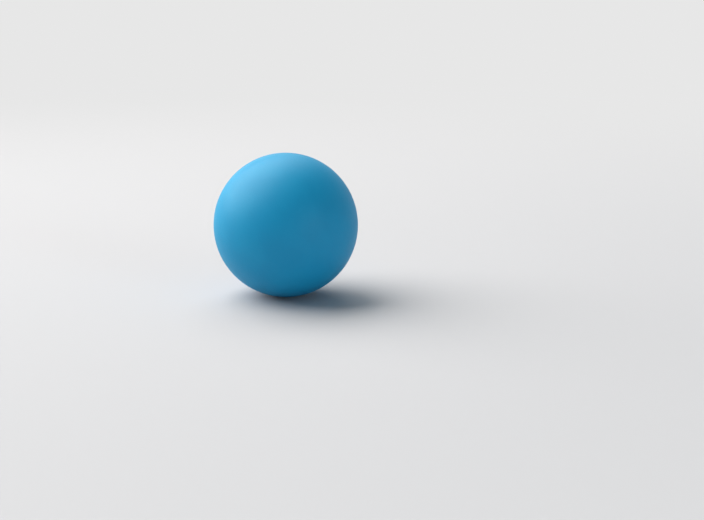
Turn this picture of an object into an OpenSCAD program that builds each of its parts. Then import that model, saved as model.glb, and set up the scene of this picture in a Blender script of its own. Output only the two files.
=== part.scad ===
// Hollow rubber bouncy ball, in millimetres.
// Two moulded half shells are lapped and cemented round one seam, and a plug
// of self-sealing gum sits in the rear wall, where a needle fills the ball.
// The origin is the ball's centre and +Z is up. The pole axis is Y, square to
// the seam, and the front half faces -Y.

/* [Ball] */
// Outside diameter of the ball
ball_d = 63; // [50:1:76]
// Thickness of the rubber wall
wall_t = 4.5; // [4:0.25:6]

/* [Seam] */
// Thickness of the cement film between the two rims
cement_t = 0.25; // [0.15:0.05:0.4]
// Height of the lap step, along the pole axis
lap_h = 2.4; // [1.5:0.1:4]
// Width and depth of the bevel on each rim's outer edge
seam_bevel = 0.2; // [0.1:0.05:0.4]
// Radius of the bead of cement that was pressed out inside the ball
bead_r = 0.6; // [0.4:0.1:1]

/* [Inflation plug] */
// Diameter of the plug where it faces the gas
plug_d = 8; // [6:0.5:10]
// How much wider the plug is at its outer end, which keys it in the wall
plug_flare = 0.8; // [0.2:0.1:1.6]
// Rubber left between the plug and the outside
plug_cover = 2; // [1.5:0.25:2.5]
// How far the boss round the plug stands in from the inner wall
boss_rise = 2.2; // [1:0.2:4]
// Thickness of the boss round the plug
boss_wall = 3; // [2:0.25:4]
// How far the rim of the plug's inner end stands out of the boss
plug_proud = 0.4; // [0.2:0.1:1]
// How far the middle of that end is crowned above its rim
plug_crown = 0.6; // [0.3:0.1:1]

/* [Needle dimple] */
// Width of the dimple that shows where the needle goes in
dimple_d = 2.4; // [1.5:0.1:4]
// Depth of the dimple at its middle
dimple_depth = 0.4; // [0.2:0.1:0.6]

/* [Hidden] */
$fn = 180;

rubber_blue = "#1b8cc4";
cement_blue = "#2f6f93";
gum_tan = "#c39a62";

ball_r = ball_d / 2;
inner_r = ball_r - wall_t;
// Radius of the lap step, halfway through the wall
lap_r = ball_r - wall_t / 2;
half_film = cement_t / 2;
// The cement was buffed back to the bottom of the two bevels
cement_r = ball_r - seam_bevel;
// A length that reaches past the ball from anywhere in it
reach = 2 * ball_d;

plug_inner_r = plug_d / 2;
plug_outer_r = (plug_d + plug_flare) / 2;
// Places along the pole axis, measured from the centre towards the rear
boss_face = inner_r - boss_rise;
plug_bed = ball_r - plug_cover;
plug_top = plug_proud + plug_crown - boss_face;
boss_face_r = plug_inner_r + boss_wall;
// The boss widens by its own rise at the wall, so that it leaves the mould
boss_foot_r = boss_face_r + boss_rise;

// Radius of the sphere whose cap has this half width and this height
function cap_sphere_r(half_width, height) =
    (half_width * half_width + height * height) / (2 * height);

// Turns a profile about the pole axis: its y axis comes to point to the front
module turned() {
    rotate([90, 0, 0])
        rotate_extrude()
            children();
}

// A band of the half plane, between two levels and between two radii
module between(low, high, from_r, to_r) {
    translate([from_r, low])
        square([to_r - from_r, high - low]);
}

// Half section of the wall before the rims are cut
module wall_section() {
    difference() {
        circle(ball_r);
        circle(inner_r);
    }
}

// The bevel on a rim's outer edge, for a rim at level 0 that faces down
module rim_bevel() {
    polygon([[cement_r, 0], [cement_r + reach, reach], [cement_r + reach, 0]]);
}

// Front half: its inner lip is the spigot, which reaches past the seam
module front_half_shell() {
    color(rubber_blue)
        turned()
            difference() {
                intersection() {
                    wall_section();
                    union() {
                        between(half_film, reach, 0, reach);
                        between(half_film - lap_h, reach, 0, lap_r - half_film);
                    }
                }
                translate([0, half_film]) rim_bevel();
            }
}

// The boss that stands in from the rear wall to hold the plug
module plug_boss_section() {
    intersection() {
        circle(inner_r + wall_t / 2);
        polygon([
            [0, -boss_face],
            [boss_face_r, -boss_face],
            [boss_foot_r, -inner_r],
            [boss_foot_r, -ball_r],
            [0, -ball_r]
        ]);
    }
}

// The plug before its end is crowned, which is also the tool for its seat
module plug_section() {
    polygon([
        [0, plug_top],
        [plug_inner_r, plug_top],
        [plug_inner_r, -boss_face],
        [plug_outer_r, -plug_bed],
        [0, -plug_bed]
    ]);
}

// The shallow round dimple at the rear pole
module needle_dimple_section() {
    dimple_r = cap_sphere_r(dimple_d / 2, dimple_depth);
    translate([0, -(ball_r - dimple_depth + dimple_r)])
        circle(dimple_r);
}

// Rear half: its outer lip is the socket, and its pole carries the plug
module rear_half_shell() {
    color(rubber_blue)
        turned()
            difference() {
                intersection() {
                    union() {
                        wall_section();
                        plug_boss_section();
                    }
                    union() {
                        between(-reach, -half_film - lap_h, 0, reach);
                        between(-reach, -half_film, lap_r + half_film, reach);
                    }
                }
                mirror([0, 1]) translate([0, half_film]) rim_bevel();
                plug_section();
                needle_dimple_section();
            }
}

// The film's three legs: outer rim, step wall and inner rim
module film_section() {
    difference() {
        union() {
            between(-half_film, half_film, lap_r - half_film, cement_r);
            between(-lap_h - half_film, half_film, lap_r - half_film, lap_r + half_film);
            between(-lap_h - half_film, half_film - lap_h, 0, lap_r + half_film);
        }
        circle(inner_r - bead_r / 2);
    }
}

// The bead clings to the inner wall where the film comes out
module bead_section() {
    intersection() {
        translate([sqrt(inner_r * inner_r - lap_h * lap_h), -lap_h])
            circle(bead_r);
        circle(inner_r);
    }
}

// The cement that bonds the halves: the film in the lap, and its bead
module seam_cement() {
    color(cement_blue)
        turned()
            union() {
                film_section();
                bead_section();
            }
}

// The plug fills its seat, and its inner end is crowned
module inflation_plug() {
    crown_r = cap_sphere_r(plug_inner_r, plug_crown);
    color(gum_tan)
        turned()
            intersection() {
                plug_section();
                translate([0, plug_top - crown_r])
                    circle(crown_r);
            }
}

front_half_shell();
rear_half_shell();
seam_cement();
inflation_plug();
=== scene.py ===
# %% [markdown]
# # A hollow rubber bouncy ball
#
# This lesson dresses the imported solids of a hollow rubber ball. The real ball is made of two
# moulded half shells, a film of cement that bonds their lapped rims, and a gum plug in the rear
# wall through which a needle fills the ball with gas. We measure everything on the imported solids,
# so that each surface we make sits where its solid is.

import bpy
import numpy as np
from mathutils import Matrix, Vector


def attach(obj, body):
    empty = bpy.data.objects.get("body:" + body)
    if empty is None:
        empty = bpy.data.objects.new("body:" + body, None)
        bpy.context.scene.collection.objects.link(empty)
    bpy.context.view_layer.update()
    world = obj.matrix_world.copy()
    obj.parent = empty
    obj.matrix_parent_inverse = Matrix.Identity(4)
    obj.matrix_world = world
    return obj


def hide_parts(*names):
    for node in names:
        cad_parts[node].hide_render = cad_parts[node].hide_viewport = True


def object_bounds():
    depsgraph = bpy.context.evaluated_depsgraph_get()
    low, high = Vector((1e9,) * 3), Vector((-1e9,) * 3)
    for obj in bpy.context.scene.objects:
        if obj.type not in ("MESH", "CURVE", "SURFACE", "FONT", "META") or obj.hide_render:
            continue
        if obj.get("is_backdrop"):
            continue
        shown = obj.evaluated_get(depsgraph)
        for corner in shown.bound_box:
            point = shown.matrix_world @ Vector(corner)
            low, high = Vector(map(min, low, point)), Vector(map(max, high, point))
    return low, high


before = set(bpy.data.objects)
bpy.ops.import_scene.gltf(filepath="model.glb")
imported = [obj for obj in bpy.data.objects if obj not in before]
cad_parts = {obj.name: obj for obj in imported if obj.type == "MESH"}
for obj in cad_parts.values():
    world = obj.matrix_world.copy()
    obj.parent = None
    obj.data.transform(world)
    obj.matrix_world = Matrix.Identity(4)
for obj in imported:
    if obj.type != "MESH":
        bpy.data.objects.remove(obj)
cad_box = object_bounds()
print("packed solids:", sorted(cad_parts))

# %% [markdown]
# ## The driving sizes
#
# The half shells are turned shapes, so a few radii and a few heights along the pole axis (Y)
# describe them. We could type these sizes again, but reading them from the solids keeps one
# source for them. The outer skin is the farthest any point lies from the centre, and the inner
# wall is the nearest.

# %% Measure the shells and the lap
MM = 0.001


def node_points(node):
    """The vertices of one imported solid, as an array of shape (count, 3) in metres."""
    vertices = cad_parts[node].data.vertices
    flat = np.empty(3 * len(vertices), dtype=np.float32)
    vertices.foreach_get("co", flat)
    return flat.reshape(-1, 3).astype(float)


def from_axis(points):
    """Distance of each point from the pole axis: the root of x squared plus z squared."""
    return np.hypot(points[:, 0], points[:, 2])


front = node_points("front_half_shell")
rear = node_points("rear_half_shell")
cement = node_points("seam_cement")
plug = node_points("inflation_plug")

BALL_R = np.linalg.norm(front, axis=1).max()
INNER_R = np.linalg.norm(front, axis=1).min()
CEMENT_R = from_axis(cement).max()
HALF_FILM = rear[:, 1].min()
LAP_H = front[:, 1].max() + HALF_FILM
LAP_R = (BALL_R + INNER_R) / 2
BEAD_R = cement[:, 1].max() - LAP_H
print(f"ball {2 * BALL_R / MM:.2f} mm across, wall {(BALL_R - INNER_R) / MM:.2f} mm")
print(f"film {2 * HALF_FILM / MM:.2f} mm thick, lap {LAP_H / MM:.2f} mm high")

# %% [markdown]
# The rear half has three more features on its axis: a boss on the inside, the seat that the plug
# fills, and a dimple outside that shows where the needle goes in. Each one has an edge where it
# leaves a sphere or a flat, so we look for the points of that edge.

# %% Measure the boss, the plug's seat and the needle dimple
# Points this close to a surface count as lying on it
SNUG = 0.01 * MM

rear_radius = np.linalg.norm(rear, axis=1)
boss = rear[rear_radius < INNER_R - SNUG]
BOSS_FACE = boss[:, 1].min()
BOSS_FACE_R = from_axis(boss)[boss[:, 1] < BOSS_FACE + SNUG].max()
BOSS_FOOT_R = from_axis(rear[abs(rear_radius - INNER_R) < SNUG]).min()
PLUG_R = from_axis(plug[plug[:, 1] < BOSS_FACE + SNUG]).max()
PLUG_TOP = plug[:, 1].min()
PLUG_RIM = plug[from_axis(plug) > PLUG_R - SNUG, 1].min()
PLUG_BED = plug[:, 1].max()
PLUG_BED_R = from_axis(plug).max()
DIMPLE_R = from_axis(rear[abs(rear_radius - BALL_R) < SNUG]).min()
DIMPLE_DEPTH = BALL_R - rear_radius[rear[:, 1] > PLUG_BED + SNUG].min()
print(f"boss face {BOSS_FACE / MM:.2f} mm from the centre, {2 * BOSS_FACE_R / MM:.1f} mm across")
print(f"plug {2 * PLUG_R / MM:.1f} mm wide, {2 * PLUG_BED_R / MM:.1f} mm at its bed")
print(f"plug's free end crowned by {(PLUG_RIM - PLUG_TOP) / MM:.2f} mm")
print(f"needle dimple {2 * DIMPLE_R / MM:.1f} mm wide, {DIMPLE_DEPTH / MM:.2f} mm deep")

# %% [markdown]
# ## A square grid for a round shell
#
# A globe of meridians crowds its faces at the poles, and the front pole is what we look at. So we
# bend a square grid into a disc instead: each square ring of cells becomes one circle. The disc
# then takes any turned profile, because every circle has one radius and one height.

# %% Bend a square grid into rings
def bent_square(rings):
    """Ring number, cosine and sine of each point of a square grid that is bent into a disc.

    The larger of a point's two offsets from the middle picks its ring. The smaller one, as a share
    of the larger, is its way along that side of the square: up to an eighth of a turn each way.
    """
    side = np.linspace(-1, 1, 2 * rings)
    across, along = np.meshgrid(side, side, indexing="ij")
    # The number of points is even, so none lies in the middle and nothing is divided by nothing.
    by_across = abs(across) > abs(along)
    offset = np.where(by_across, across, along)
    turn = np.where(by_across, along / across, 2 - across / along) * np.pi / 4
    ring = np.rint((abs(offset) * (2 * rings - 1) - 1) / 2).astype(int)
    return ring, np.cos(turn) * np.sign(offset), np.sin(turn) * np.sign(offset)


def ring_shares(rings):
    """How far out each ring lies, as a share of the last: the odd numbers over the largest one."""
    return (2 * np.arange(rings) + 1) / (2 * rings - 1)


def circle_turns(around):
    """Turns of the points round a circle, from the square's corner 45 degrees below the first axis."""
    return -np.pi / 4 + 2 * np.pi * np.arange(around) / around


def points_around(rings):
    """Points on the outermost circle: four sides, each of one cell less than twice the rings."""
    return 4 * (2 * rings - 1)


RINGS = 81
AROUND = points_around(RINGS)
ring_share = ring_shares(RINGS)
print(f"a shell has {RINGS} rings, the outermost of {AROUND} points")

# %% Points and faces of caps and circles
def point_numbers(rings):
    """The numbers of a bent square's points, as a square array."""
    return np.arange((2 * rings) ** 2).reshape(2 * rings, 2 * rings)


def rim_of(grid):
    """The border of a square array, walked once round in the order of circle_turns."""
    last = len(grid) - 1
    sides = [grid[last, :last], grid[last:0:-1, last], grid[0, last:0:-1], grid[:last, 0]]
    return np.concatenate(sides)


def quads(grid):
    """Each cell of a grid of numbers, or of map places, as its four corners in turn."""
    return np.stack([grid[:-1, :-1], grid[1:, :-1], grid[1:, 1:], grid[:-1, 1:]], axis=2)


def cap_points(radius, height):
    """A disc bent to a profile: ring k lies at radius[k] from the axis, at height[k] along it."""
    ring, cosine, sine = bent_square(len(radius))
    places = [radius[ring] * cosine, radius[ring] * sine, height[ring]]
    return np.stack(places, axis=-1).reshape(-1, 3)


def circle_points(radius, height):
    """Circles round the axis: row k lies at radius[k] and height[k], which may vary round it."""
    turn = circle_turns(radius.shape[1])
    places = [radius * np.cos(turn), radius * np.sin(turn), height]
    return np.stack(places, axis=-1).reshape(-1, 3)


print("a cap of the shell has", point_numbers(RINGS).size, "points")

# %% [markdown]
# ## From profiles to a closed half shell
#
# A half shell is one skin: over the outside, round the rim and back along the inside. The outside
# and the inside are bent square grids, and the rim between them is a stack of circles that starts
# on the border of one grid and ends on the border of the other. Sharing those border points closes
# the skin with no seam to weld. The same cells, laid flat, give the piece a clean map for baking.

# %% Join two caps and a rim into one skin
# Places on the flat map: low corner and size of the outside, the inside and the rim strip
OUTSIDE_MAP = ((0.01, 0.01), (0.70, 0.70))
INSIDE_MAP = ((0.72, 0.01), (0.27, 0.27))
RIM_MAP = ((0.01, 0.73), (0.98, 0.25))
WHOLE_MAP = ((0.01, 0.01), (0.98, 0.98))


def map_places(rows, columns, place):
    """An even grid of map places, rows by columns, over one rectangle of the flat map."""
    (left, low), (width, height) = place
    u, v = np.meshgrid(np.linspace(0, 1, columns), np.linspace(0, 1, rows))
    return np.stack([left + width * u, low + height * v], axis=-1)


def skin_of(grids, places):
    """Faces of some grids of point numbers, and the place of each face's corners on the flat map."""
    faces = [quads(grid).reshape(-1, 4) for grid in grids]
    flat = [quads(map_places(*grid.shape, place)).reshape(-1, 2) for grid, place in zip(grids, places)]
    return np.concatenate(faces), np.concatenate(flat)


def closed_skin(outside, rim, inside):
    """Points, faces and map places of one closed piece, from three pairs of (radius, height).

    The outside and the inside run from the pole to the rim. The grid of the inside is laid the
    other way round, because its skin looks the other way along the axis.
    """
    points = np.concatenate([cap_points(*outside), circle_points(*rim), cap_points(*inside)])
    outer = point_numbers(len(outside[0]))
    circles = outer.size + np.arange(rim[0].size).reshape(rim[0].shape)
    inner = outer.size + circles.size + outer
    strip = np.concatenate([rim_of(outer)[None], circles, rim_of(inner)[None]])
    strip = np.pad(strip, ((0, 0), (0, 1)), mode="wrap")
    faces, flat = skin_of([outer, strip, inner.T], [OUTSIDE_MAP, RIM_MAP, INSIDE_MAP])
    return points, faces, flat


map_used = sum(width * height for _, (width, height) in (OUTSIDE_MAP, INSIDE_MAP, RIM_MAP))
print(f"a half shell fills {map_used:.0%} of its flat map")

# %% Make a mesh object of a skin
# Faces that meet at more than this angle show a real edge
REAL_EDGE = np.radians(35)


def volume_of(points, faces):
    """Volume inside a closed skin: a sixth of the triple products of its triangles, summed."""
    a, b, c, d = (points[faces[:, k]] for k in range(4))
    return (np.cross(a, b) * c + np.cross(a, c) * d).sum() / 6


def make_piece(name, points, faces, flat):
    """A mesh object at the origin, smooth but for its real edges, with its flat map for baking."""
    mesh = bpy.data.meshes.new(name)
    mesh.from_pydata(points.tolist(), [], faces.tolist())
    mesh.shade_smooth()
    mesh.set_sharp_from_angle(angle=REAL_EDGE)
    mesh.uv_layers.new(name="OFBake").uv.foreach_set("vector", flat.astype(np.float32).ravel())
    piece = bpy.data.objects.new(name, mesh)
    bpy.context.scene.collection.objects.link(piece)
    print(f"{name}: {2 * len(faces)} triangles, {volume_of(points, faces) / MM**3:.1f} mm3")
    return piece


print(f"edges over {np.degrees(REAL_EDGE):.0f} degrees stay sharp")

# %% [markdown]
# ## The outside of a half shell
#
# The rubber comes out of a smooth mould, so the outside is a true half sphere. Only its edge has a
# story: after bonding, the seam is buffed, which leaves a shallow groove with soft shoulders. The
# buffing is done by eye, so the shoulders are a little fuller here and thinner there. A rounded
# edge could come from a bevel modifier, but a short curve in the profile gives the same edge and
# lets its fullness wander round the ball.

# %% Seam shoulder
SHOULDER = 0.45 * MM
SHOULDER_STEPS = 8
SHOULDER_POLAR = np.arccos((HALF_FILM + SHOULDER) / BALL_R)
# How far an edge's fullness wanders, as a share, in a few slow waves round the axis
WANDER = 0.35
WAVES = np.array([2, 3, 5, 9, 14])


def slow_waves(seed, around=AROUND):
    """A closed curve round the axis, from -1 to 1: a sum of a few cosines at random phases."""
    phases = np.random.default_rng(seed).uniform(0, 2 * np.pi, len(WAVES))
    waves = np.cos(WAVES[:, None] * circle_turns(around) + phases[:, None]).sum(axis=0)
    return waves / abs(waves).max()


def on_sphere(radius, polar):
    """Distance from the axis and height along it: a radius times the sine and the cosine."""
    return radius * np.sin(polar), radius * np.cos(polar)


def soft_edge(start, corner, end, steps, waves):
    """A curve from start to end that is pulled towards a corner, all pairs of radius and height.

    Its points are (1-t)^2 of the start, 2t(1-t) of the corner and t^2 of the end. The corner moves
    in towards the straight line where the waves are high and the edge is worn.
    """
    t = np.linspace(0, 1, steps + 1)[1:, None]
    start, corner, end = (np.reshape(pair, (2, 1, 1)) for pair in (start, corner, end))
    corner = corner + WANDER * (1 + waves) / 2 * ((start + end) / 2 - corner)
    return (1 - t) ** 2 * start + 2 * t * (1 - t) * corner + t**2 * end


def seam_shoulder(seed):
    """The soft edge from the skin, past the rim's sharp corner, to the end of the film."""
    start = on_sphere(BALL_R, SHOULDER_POLAR)
    corner = (np.sqrt(BALL_R**2 - HALF_FILM**2), HALF_FILM)
    return soft_edge(start, corner, (CEMENT_R, HALF_FILM), SHOULDER_STEPS, slow_waves(seed))


groove_depth = BALL_R - CEMENT_R
print(f"seam groove {2 * (HALF_FILM + SHOULDER) / MM:.2f} mm wide, {groove_depth / MM:.2f} mm deep")

# %% [markdown]
# ## The front half shell
#
# The front half carries the spigot: inside the seam its wall reaches past the rim by the height of
# the lap. The rim's profile is therefore the shoulder, the flat of the rim, the step up the lap
# and the flat of the spigot's end, where the inside takes over.

# %% Front half shell
def stacked(*profiles, around=AROUND):
    """Profiles one after another, as rows of radii and rows of heights round the axis."""
    radii = [np.broadcast_to(r, (len(r), around)) for r, _ in profiles]
    heights = [np.broadcast_to(h, (len(h), around)) for _, h in profiles]
    return np.concatenate(radii), np.concatenate(heights)


def corners(*pairs):
    """A short profile from pairs of radius and height, as two columns."""
    table = np.array(pairs)
    return table[:, :1], table[:, 1:]


def facing_front(points):
    """Turns a piece's own pole axis to -Y, the front of the ball."""
    return points[:, [0, 2, 1]] * (1, -1, 1)


spigot_end = HALF_FILM - LAP_H
front_outside = on_sphere(BALL_R, SHOULDER_POLAR * ring_share)
front_rim = stacked(
    seam_shoulder(seed=1),
    corners((LAP_R - HALF_FILM, HALF_FILM), (LAP_R - HALF_FILM, spigot_end)),
)
front_inside = on_sphere(INNER_R, np.arccos(spigot_end / INNER_R) * ring_share)

points, faces, flat = closed_skin(front_outside, front_rim, front_inside)
front_shell = make_piece("front_shell", facing_front(points), faces, flat)

# %% [markdown]
# ## The rear half shell
#
# The rear half is the socket: its rim steps the other way, so that the spigot seats in it. Outside,
# a small dimple at its pole shows where the needle goes in. The rings of the outside crowd towards
# the pole, to give the dimple enough faces to be round.

# %% Outside and rim of the rear half
# Share of even spacing that is kept at the rear pole
POLE_CROWDING = 0.35
# The soft lip makes the dimple look wider than its cut
DIMPLE_LIP = 1.35


def needle_dimple(r):
    """Depth of the dimple: a bell, (1-s^2)^2, where s is the way from the axis to the lip's end."""
    inside = np.clip(1 - (r / (DIMPLE_LIP * DIMPLE_R)) ** 2, 0, 1)
    return DIMPLE_DEPTH * inside**2


socket_floor = HALF_FILM + LAP_H
rear_polar = SHOULDER_POLAR * (POLE_CROWDING * ring_share + (1 - POLE_CROWDING) * ring_share**3)
rear_r, rear_h = on_sphere(BALL_R, rear_polar)
rear_outside = (rear_r, rear_h - needle_dimple(rear_r))
rear_rim = stacked(
    seam_shoulder(seed=2),
    corners((LAP_R + HALF_FILM, HALF_FILM), (LAP_R + HALF_FILM, socket_floor)),
)
print("rings in the dimple:", int((rear_r < DIMPLE_LIP * DIMPLE_R).sum()))

# %% [markdown]
# The inside of the rear half is the same wall with the boss and the plug's seat at its pole. Its
# corners are given to a few chosen rings, and the rings between two corners share the way evenly.

# %% Inside of the rear half
# The ring that each corner is given to. The axis lies half a step inside the first ring, number 0.
AXIS, BED, SEAT, FACE, FOOT = -0.5, 6, 12, 18, 22
boss_ring = [AXIS, BED, SEAT, FACE, FOOT]
boss_r = [0, PLUG_BED_R, PLUG_R, BOSS_FACE_R, BOSS_FOOT_R]
boss_h = [PLUG_BED, PLUG_BED, BOSS_FACE, BOSS_FACE, np.sqrt(INNER_R**2 - BOSS_FOOT_R**2)]


def facing_rear(points):
    """Turns a piece's own pole axis to +Y, the rear of the ball."""
    return points[:, [0, 2, 1]] * (-1, 1, 1)


ring_number = np.arange(RINGS)
foot_polar = np.arcsin(BOSS_FOOT_R / INNER_R)
mouth_polar = np.arccos(socket_floor / INNER_R)
wall_polar = np.interp(ring_number, [FOOT, RINGS - 1], [foot_polar, mouth_polar])
wall_r, wall_h = on_sphere(INNER_R, wall_polar)
on_boss = ring_number <= FOOT
rear_inside = (
    np.where(on_boss, np.interp(ring_number, boss_ring, boss_r), wall_r),
    np.where(on_boss, np.interp(ring_number, boss_ring, boss_h), wall_h),
)

points, faces, flat = closed_skin(rear_outside, rear_rim, rear_inside)
rear_shell = make_piece("rear_shell", facing_rear(points), faces, flat)

# %% [markdown]
# ## The seam cement
#
# The cement is a thin film that fills the lap: in along the rim, up the step and in along the
# spigot's end. Where it meets the air outside it has shrunk to a hollow line at the bottom of the
# groove. Inside, the surplus was pressed out and cured as a bead that clings to the wall. We carry
# the film's section round the ball, and let the hollow and the bead swell and thin as glue does.

# %% Seam cement ring
# How deep the outer end is sunk, and the shares by which the hollow and the bead swell and thin
HOLLOW = 0.05 * MM
HOLLOW_SWELL = 0.6
BEAD_SWELL = 0.2
# Points across each of them
HOLLOW_STEPS = 5
BEAD_STEPS = 12


def hollow_end(seed):
    """The film's outer end, rim to rim: sunk by 4t(1-t) of the hollow, so by all of it halfway."""
    t = np.linspace(0, 1, HOLLOW_STEPS)[:, None]
    sunk = HOLLOW * (1 + HOLLOW_SWELL * slow_waves(seed)) * 4 * t * (1 - t)
    return CEMENT_R - sunk, HALF_FILM * (1 - 2 * t)


def on_wall(h):
    """The inner wall at a height: the root of its radius squared less h squared, and h itself."""
    return np.sqrt(INNER_R**2 - h**2), h


def inner_bead(seed):
    """The squeezed-out bead: a half circle on the inner wall, as full as the glue left it."""
    lean = np.linspace(-np.pi / 2, np.pi / 2, BEAD_STEPS)[:, None]
    full = BEAD_R * (1 - BEAD_SWELL + BEAD_SWELL * slow_waves(seed))
    r, h = on_wall(LAP_H + full * np.sin(lean))
    return r - full * np.cos(lean), h


section = stacked(
    hollow_end(seed=3),
    corners(
        (LAP_R - HALF_FILM, -HALF_FILM),
        (LAP_R - HALF_FILM, LAP_H - HALF_FILM),
        on_wall(LAP_H - HALF_FILM),
    ),
    inner_bead(seed=4),
    corners(
        on_wall(LAP_H + HALF_FILM),
        (LAP_R + HALF_FILM, LAP_H + HALF_FILM),
        (LAP_R + HALF_FILM, HALF_FILM),
    ),
)
ring_grid = np.arange(section[0].size).reshape(-1, AROUND)
faces, flat = skin_of([np.pad(ring_grid, ((0, 1), (0, 1)), mode="wrap")], [WHOLE_MAP])
seam_ring = make_piece("seam_ring", facing_rear(circle_points(*section)), faces, flat)

# %% [markdown]
# ## The inflation plug
#
# The plug is a lump of raw gum that was pressed into its seat while it was soft. It fills the seat
# down to the bed, and its free end is crowned and stands a little out of the boss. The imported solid
# has that shape with a sharp edge. Pressed gum has a soft one, so we build the plug as we built the
# shells: the crown and the bed are two bent square grids, and the edge and the side join them. The
# plug is small, so a coarser grid will do.

# %% Gum plug
PLUG_RINGS = 20
PLUG_AROUND = points_around(PLUG_RINGS)
# How far from the sharp edge the soft one starts and ends
PLUG_EDGE = 0.35 * MM
PLUG_EDGE_STEPS = 6
PLUG_SIDE_STEPS = 6


def crown_height(r):
    """Height of the free end at a distance from the axis: a cap of the sphere through rim and top."""
    rise = PLUG_RIM - PLUG_TOP
    sphere_r = (PLUG_R**2 + rise**2) / (2 * rise)
    return np.sqrt(sphere_r**2 - r**2) - sphere_r - PLUG_TOP


plug_share = ring_shares(PLUG_RINGS)
edge_r = PLUG_R - PLUG_EDGE
free_end = (edge_r * plug_share, crown_height(edge_r * plug_share))
plug_edge = soft_edge(
    (edge_r, crown_height(edge_r)),
    (PLUG_R, -PLUG_RIM),
    (PLUG_R, -PLUG_RIM - PLUG_EDGE),
    PLUG_EDGE_STEPS,
    slow_waves(seed=5, around=PLUG_AROUND),
)
down = np.linspace(0, 1, PLUG_SIDE_STEPS, endpoint=False)[:, None]
plug_side = (PLUG_R + (PLUG_BED_R - PLUG_R) * down, -BOSS_FACE - (PLUG_BED - BOSS_FACE) * down)
plug_bed = (PLUG_BED_R * plug_share, np.full(PLUG_RINGS, -PLUG_BED))

plug_wall = stacked(plug_edge, plug_side, around=PLUG_AROUND)
points, faces, flat = closed_skin(free_end, plug_wall, plug_bed)
gum_plug = make_piece("gum_plug", facing_front(points), faces, flat)

# %% [markdown]
# Each new surface now takes the place of its solid, and rides on the one body that the ball has.

# %% Put the pieces in place of their solids
for piece, node, slot in (
    (front_shell, "front_half_shell", "shell_rubber"),
    (rear_shell, "rear_half_shell", "shell_rubber"),
    (seam_ring, "seam_cement", "cement_rubber"),
    (gum_plug, "inflation_plug", "plug_gum"),
):
    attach(piece, "root")
    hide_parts(node)
    print(f"{piece.name} stands for {node}")

# %% [markdown]
# ## Finishes
#
# A material here is a small chain of nodes that reads the place of a point on the ball, in metres.
# A helper that adds one node and fills its sockets keeps each chain short enough to read.

# %% Node helpers
def add(tree, kind, settings=None, inputs=None):
    """Adds one node, sets its options, and links or fills its input sockets."""
    node = tree.nodes.new(kind)
    for key, value in (settings or {}).items():
        setattr(node, key, value)
    for key, value in (inputs or {}).items():
        fill(tree, node.inputs[key], value)
    return node


def fill(tree, socket, value):
    """Links a socket to another node's output, or sets its plain value."""
    if isinstance(value, bpy.types.NodeSocket):
        tree.links.new(value, socket)
    else:
        socket.default_value = value


def new_finish(name):
    """An empty material with its shader, and the place of a point in the ball's own frame."""
    finish = bpy.data.materials.new(name)
    finish.use_nodes = True
    tree = finish.node_tree
    place = add(tree, "ShaderNodeTexCoord").outputs["Object"]
    return finish, tree, tree.nodes["Principled BSDF"], place


print("node helpers:", [helper.__name__ for helper in (add, fill, new_finish)])

# %% [markdown]
# Six more helpers do what the finishes need: a cloud of a given size, a smooth step from one value
# to another, one step of arithmetic, a distance, a colour between two colours, and fine relief.

# %% Clouds, steps, arithmetic, distances, colours and relief
# A cloud keeps near one half, so these two values take in nearly all of it.
CLOUD_RANGE = (0.3, 0.7)
# How many finer layers a cloud has: few for grain, more for streaks of pigment
GRAINY, STREAKY = 2.0, 3.0
NONE_TO_ALL = (0.0, 1.0)
ALL_TO_NONE = (1.0, 0.0)


def cloud(tree, place, size, detail=GRAINY):
    """A cloud of noise, about 0.3 to 0.7, whose features have about the given size in metres."""
    inputs = {"Vector": place, "Scale": 1 / size, "Detail": detail}
    return add(tree, "ShaderNodeTexNoise", None, inputs).outputs["Fac"]


def step(tree, value, low_high, start_end=NONE_TO_ALL):
    """Takes a value from low to high smoothly to a value from start to end."""
    (low, high), (start, end) = low_high, start_end
    inputs = {"Value": value, "From Min": low, "From Max": high, "To Min": start, "To Max": end}
    return add(tree, "ShaderNodeMapRange", {"interpolation_type": "SMOOTHSTEP"}, inputs).outputs["Result"]


def work(tree, operation, a, b=0.0):
    """One step of arithmetic on two values."""
    return add(tree, "ShaderNodeMath", {"operation": operation}, {0: a, 1: b}).outputs[0]


def away(tree, place):
    """How far a place is from the centre of the ball: the root of its three squares."""
    return add(tree, "ShaderNodeVectorMath", {"operation": "LENGTH"}, {0: place}).outputs["Value"]


def between(tree, share, a, b):
    """The colour at a share of the way from colour a to colour b."""
    node = add(tree, "ShaderNodeMix", {"data_type": "RGBA"})
    enabled = {socket.name: socket for socket in node.inputs if socket.enabled}
    for key, value in (("Factor", share), ("A", a), ("B", b)):
        fill(tree, enabled[key], value)
    return next(socket for socket in node.outputs if socket.enabled)


def roughen(tree, shader, height, depth):
    """Gives a shader fine relief: a height from 0 to 1 that stands for a depth in metres."""
    bump = add(tree, "ShaderNodeBump", None, {"Distance": depth, "Height": height})
    fill(tree, shader.inputs["Normal"], bump.outputs["Normal"])


print("clouds are taken from", CLOUD_RANGE)
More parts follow.
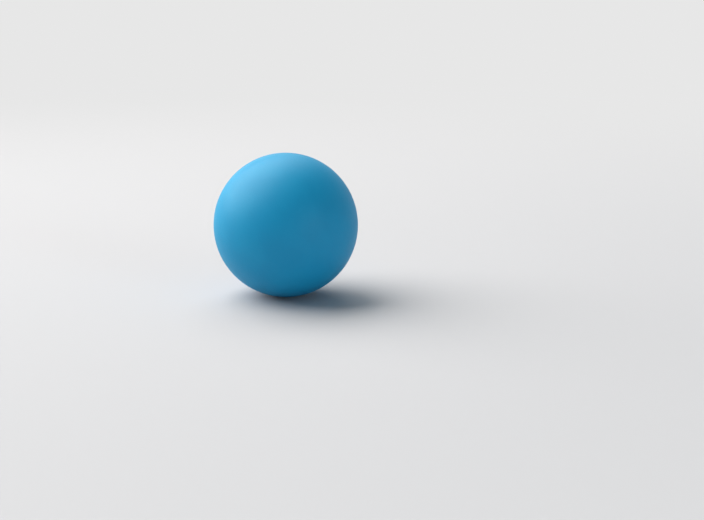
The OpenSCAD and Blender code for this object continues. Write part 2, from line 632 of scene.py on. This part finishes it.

# %% [markdown]
# ## The blue rubber
#
# Under a soft light the ball looks like one even blue, but a flat colour would look like plastic.
# Real moulded rubber has pigment that is mixed a little unevenly, a fine grain from the mould, and
# a slightly smoother, paler band where the seam was buffed. In the needle's dimple a dark dot is
# painted as the shade of the prick. The inside never sees the polish and keeps a dusting of the talc
# that stopped it from sticking. All of this depends only on where a point is, so the chain reads the
# place and nothing else.

# %% Blue rubber
DEEP_BLUE = (0.0, 0.272, 0.515, 1)
PALE_BLUE = (0.001, 0.288, 0.535, 1)
BUFFED_BLUE = (0.02, 0.33, 0.57, 1)
# Painted shade: the dark dot at the rear pole stands for the shade in the needle's prick
PRICK_SHADE_BLUE = (0.0, 0.08, 0.18, 1)
TALC_BLUE = (0.20, 0.38, 0.52, 1)
RUBBER_ROUGHNESS = (0.50, 0.60)
RUBBER_SPECULAR = 0.33
GRAIN, PEBBLE, PIGMENT_CLOUD = 0.30 * MM, 0.90 * MM, 14 * MM
GRAIN_DEPTH = 0.035 * MM
# Height of the pebbles in the relief, when the fine grain has a height of 1
PEBBLE_HEIGHT = 1.0
# Distances from the seam between which the buffing fades out, and how far it goes
BUFFED_BAND = (0.5 * MM, 2.2 * MM)
BUFFED = (0.5, 0.0)
BUFFED_SMOOTHER = 0.16
# Distances from the axis between which the painted shade of the needle's prick fades out, and how dark it
# is
PRICK_SHADE_EDGE = (0.15 * MM, 0.40 * MM)
PRICK_SHADE = (0.7, 0.0)
# The dust lies thinner and thicker on the inside, which is rougher by this much
DUST = (0.4, 0.9)
INSIDE_ROUGHER = 0.25


def rubber_finish():
    """Blue rubber: clouded colour, fine mould grain, a buffed band at the seam, talc inside."""
    finish, tree, shader, place = new_finish("blue_rubber")
    grain = cloud(tree, place, GRAIN)
    pebble = cloud(tree, place, PEBBLE)
    pigment = step(tree, cloud(tree, place, PIGMENT_CLOUD, STREAKY), CLOUD_RANGE)
    x, y, z = add(tree, "ShaderNodeSeparateXYZ", None, {"Vector": place}).outputs
    buffed = step(tree, work(tree, "ABSOLUTE", y), BUFFED_BAND, BUFFED)
    inside = step(tree, away(tree, place), (INNER_R, LAP_R), ALL_TO_NONE)
    squares = work(tree, "ADD", work(tree, "MULTIPLY", x, x), work(tree, "MULTIPLY", z, z))
    off_axis = work(tree, "SQRT", squares)
    # Painted shade: a dark dot in the dimple, fading out from the axis, for the needle's prick
    at_rear = work(tree, "GREATER_THAN", y, PLUG_BED)
    prick_shade = work(tree, "MULTIPLY", at_rear, step(tree, off_axis, PRICK_SHADE_EDGE, PRICK_SHADE))
    dust = work(tree, "MULTIPLY", inside, step(tree, pebble, CLOUD_RANGE, DUST))

    colour = between(tree, pigment, DEEP_BLUE, PALE_BLUE)
    colour = between(tree, buffed, colour, BUFFED_BLUE)
    # The painted shade of the prick darkens the colour at the rear pole
    colour = between(tree, prick_shade, colour, PRICK_SHADE_BLUE)
    colour = between(tree, dust, colour, TALC_BLUE)
    fill(tree, shader.inputs["Base Color"], colour)

    rough = step(tree, grain, CLOUD_RANGE, RUBBER_ROUGHNESS)
    rough = work(tree, "SUBTRACT", rough, work(tree, "MULTIPLY", buffed, BUFFED_SMOOTHER))
    rough = work(tree, "ADD", rough, work(tree, "MULTIPLY", inside, INSIDE_ROUGHER))
    fill(tree, shader.inputs["Roughness"], rough)
    shader.inputs["Specular IOR Level"].default_value = RUBBER_SPECULAR
    relief = work(tree, "ADD", grain, work(tree, "MULTIPLY", pebble, PEBBLE_HEIGHT))
    roughen(tree, shader, relief, GRAIN_DEPTH)
    return finish


blue_rubber = rubber_finish()
for shell in (front_shell, rear_shell):
    shell.data.materials.append(blue_rubber)
print("blue rubber:", len(blue_rubber.node_tree.nodes), "nodes")

# %% [markdown]
# ## The cured cement
#
# Cured rubber cement is darker and a little glossier than the moulded rubber. It hardens with tiny
# bubbles in it, which we take from the distance to scattered points.

# %% Seam cement finish
DARK_CEMENT = (0.004, 0.13, 0.26, 1)
PALE_CEMENT = (0.012, 0.19, 0.35, 1)
CEMENT_ROUGHNESS = (0.32, 0.48)
CEMENT_CLOUD, BUBBLE = 3 * MM, 0.4 * MM
# Where a bubble's edge starts and ends, as a share of the space between bubbles
BUBBLE_EDGE = (0.05, 0.25)
BUBBLE_DEPTH = 0.01 * MM


def cement_finish():
    """Cured cement: dark blue film, glossier than the shell, with specks of trapped air."""
    finish, tree, shader, place = new_finish("cured_cement")
    streaks = step(tree, cloud(tree, place, CEMENT_CLOUD, STREAKY), CLOUD_RANGE)
    bubbles = add(tree, "ShaderNodeTexVoronoi", None, {"Vector": place, "Scale": 1 / BUBBLE})
    fill(tree, shader.inputs["Base Color"], between(tree, streaks, DARK_CEMENT, PALE_CEMENT))
    fill(tree, shader.inputs["Roughness"], step(tree, streaks, NONE_TO_ALL, CEMENT_ROUGHNESS))
    roughen(tree, shader, step(tree, bubbles.outputs["Distance"], BUBBLE_EDGE), BUBBLE_DEPTH)
    return finish


seam_ring.data.materials.append(cement_finish())
print("seam finish:", seam_ring.data.materials[0].name)

# %% [markdown]
# ## The raw gum
#
# The gum of the plug is raw rubber: tan, cloudy and dull, and a little grainy.

# %% Plug finish
DARK_GUM = (0.40, 0.24, 0.09, 1)
PALE_GUM = (0.58, 0.40, 0.19, 1)
GUM_ROUGHNESS = (0.6, 0.8)
GUM_STREAK, GUM_GRAIN = 2.5 * MM, 0.3 * MM
GUM_DEPTH = 0.02 * MM


def gum_finish():
    """Raw gum: tan with darker streaks, dull, faintly grainy."""
    finish, tree, shader, place = new_finish("raw_gum")
    streaks = step(tree, cloud(tree, place, GUM_STREAK, STREAKY), CLOUD_RANGE)
    grain = cloud(tree, place, GUM_GRAIN)
    fill(tree, shader.inputs["Base Color"], between(tree, streaks, DARK_GUM, PALE_GUM))
    fill(tree, shader.inputs["Roughness"], step(tree, grain, CLOUD_RANGE, GUM_ROUGHNESS))
    roughen(tree, shader, grain, GUM_DEPTH)
    return finish


gum_plug.data.materials.append(gum_finish())
print("plug finish:", gum_plug.data.materials[0].name)

# %% [markdown]
# ## The camera
#
# The ball's outline in the photograph is a circle, and its place and radius in pixels say where the
# camera looks and how far away it stands. A longer lens stands farther off and shows a little more
# of the sides. We aim the camera past the ball rather than shift the lens, so that the view from any
# other side stays centred.

# %% Camera at the photograph's angle
PICTURE = (704, 520)
BALL_PIXEL = (285.9, 224.9)
BALL_PIXEL_R = 72.1
LENS_MM = 85
SENSOR_MM = 36
CAMERA_ELEVATION = np.radians(12)

camera_data = bpy.data.cameras.new("camera")
camera_data.lens = LENS_MM
camera_data.sensor_width = SENSOR_MM
camera = bpy.data.objects.new("camera", camera_data)
bpy.context.scene.collection.objects.link(camera)
bpy.context.scene.camera = camera

focal_px = LENS_MM / SENSOR_MM * PICTURE[0]
distance = BALL_R * np.hypot(1, focal_px / BALL_PIXEL_R)
towards_camera = Vector((0, -np.cos(CAMERA_ELEVATION), np.sin(CAMERA_ELEVATION)))
ray = Vector((BALL_PIXEL[0] - PICTURE[0] / 2, PICTURE[1] / 2 - BALL_PIXEL[1], -focal_px))
aim = (-towards_camera).to_track_quat("-Z", "Y")
camera.rotation_mode = "QUATERNION"
camera.rotation_quaternion = aim @ ray.rotation_difference(Vector((0, 0, -1)))
camera.location = towards_camera * distance
print(f"camera {distance:.3f} m from the ball, {np.degrees(CAMERA_ELEVATION):.0f} degrees up")

# %% [markdown]
# ## The floor
#
# The ball rests on a pale floor that sweeps up into a wall far away, so that no view finds an edge.
# It is one more bent square grid: its profile runs out along the floor, round a quarter circle and
# up the wall. The lamps come from above, so a middle grey already looks pale near the ball, where
# it takes the shadow. Farther off the lamps would leave bright and dark patches. There we show the
# camera, and any reflection, one even pale tone. It sheds no light, so the ball's shading stays
# what the lamps make it.

# %% Floor and backdrop
FLOOR_R = 4.0
SWEEP_R = 1.5
WALL = 1.5
FLOOR_GREY = (0.495, 0.50, 0.53, 1)
FLOOR_ROUGHNESS = 0.9
BACKDROP_GREY = (0.80, 0.80, 0.80, 1)
# Distances from the ball between which the shaded floor passes into the even tone
BACKDROP_FADE = (0.12, 0.70)


def sweep_profile(share):
    """Radius and height at a share of the way out along the floor, the quarter circle and the wall."""
    way = share * (FLOOR_R + SWEEP_R * np.pi / 2 + WALL)
    bend = np.clip((way - FLOOR_R) / SWEEP_R, 0, np.pi / 2)
    up_wall = np.clip(way - FLOOR_R - SWEEP_R * np.pi / 2, 0, None)
    radius = np.minimum(way, FLOOR_R) + SWEEP_R * np.sin(bend)
    return radius, SWEEP_R * (1 - np.cos(bend)) + up_wall - BALL_R


def floor_finish():
    """Pale paper: lit by the lamps near the ball, and one even tone far from it where it is seen."""
    finish, tree, shader, place = new_finish("floor_paper")
    shader.inputs["Base Color"].default_value = FLOOR_GREY
    shader.inputs["Roughness"].default_value = FLOOR_ROUGHNESS
    far = step(tree, away(tree, place), BACKDROP_FADE)
    rays = add(tree, "ShaderNodeLightPath").outputs
    seen = work(tree, "MAXIMUM", rays["Is Camera Ray"], rays["Is Glossy Ray"])
    seen = work(tree, "MAXIMUM", seen, rays["Is Transmission Ray"])
    share = work(tree, "MULTIPLY", seen, far)
    even = add(tree, "ShaderNodeEmission", None, {"Color": BACKDROP_GREY})
    inputs = {0: share, 1: shader.outputs[0], 2: even.outputs[0]}
    surface = add(tree, "ShaderNodeMixShader", None, inputs).outputs[0]
    fill(tree, tree.nodes["Material Output"].inputs["Surface"], surface)
    return finish


sweep_mesh = bpy.data.meshes.new("studio_sweep")
sweep_points = cap_points(*sweep_profile(ring_share))
sweep_faces = quads(point_numbers(RINGS)).reshape(-1, 4)
sweep_mesh.from_pydata(sweep_points.tolist(), [], sweep_faces.tolist())
sweep_mesh.shade_smooth()
sweep_mesh.materials.append(floor_finish())
sweep = bpy.data.objects.new("studio_sweep", sweep_mesh)
bpy.context.scene.collection.objects.link(sweep)
sweep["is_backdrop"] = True
print("floor at", round(-BALL_R / MM, 2), "mm")

# %% [markdown]
# ## The light
#
# One very large soft lamp stands high on the left and a little behind the ball. It makes the upper
# left pale and leaves the middle a deep blue, as in the photograph. A smaller lamp from behind lifts
# the top edge, a weak one fills the lower right, and a faint sky keeps the far side readable. White
# light everywhere would grey the shaded blue, so the lamps above are a little warm, and the fill
# and the sky are cool.

# %% Lamps and sky
WARM = (1.0, 0.96, 0.90)
COOL = (0.7, 0.93, 1.0)
LAMPS = {
    # name: (place, metres across, watts, tint)
    "key": ((-1.65, 0.70, 1.76), 3.6, 150, WARM),
    "top": ((0.0, 1.67, 1.86), 1.5, 18, WARM),
    "fill": ((1.70, -1.80, 0.45), 0.9, 11.5, COOL),
}
SKY = (0.8, 0.95, 1, 1)
SKY_STRENGTH = 0.25

for name, (where, size, watts, tint) in LAMPS.items():
    data = bpy.data.lights.new(name, "AREA")
    data.shape = "DISK"
    data.size = size
    data.energy = watts
    data.color = tint
    lamp = bpy.data.objects.new(name, data)
    lamp.location = where
    lamp.rotation_mode = "QUATERNION"
    lamp.rotation_quaternion = (-Vector(where)).to_track_quat("-Z", "Y")
    lamp.visible_camera = False
    bpy.context.scene.collection.objects.link(lamp)

world = bpy.data.worlds.new("studio")
world.use_nodes = True
world.node_tree.nodes["Background"].inputs["Color"].default_value = SKY
world.node_tree.nodes["Background"].inputs["Strength"].default_value = SKY_STRENGTH
bpy.context.scene.world = world
bpy.context.scene.view_settings.view_transform = "Standard"
print("lamps:", sorted(LAMPS))

# %% [markdown]
# ## The size
#
# The dressed ball has to stay in the box of the solids, so we print both boxes for comparison.

# %% Print the boxes
boxes = {"cad": cad_box, "visual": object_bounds()}
plain_boxes = {name: [list(corner) for corner in box] for name, box in boxes.items()}
for name, box in plain_boxes.items():
    print(name, "box in mm:", [[round(value / MM, 2) for value in corner] for corner in box])
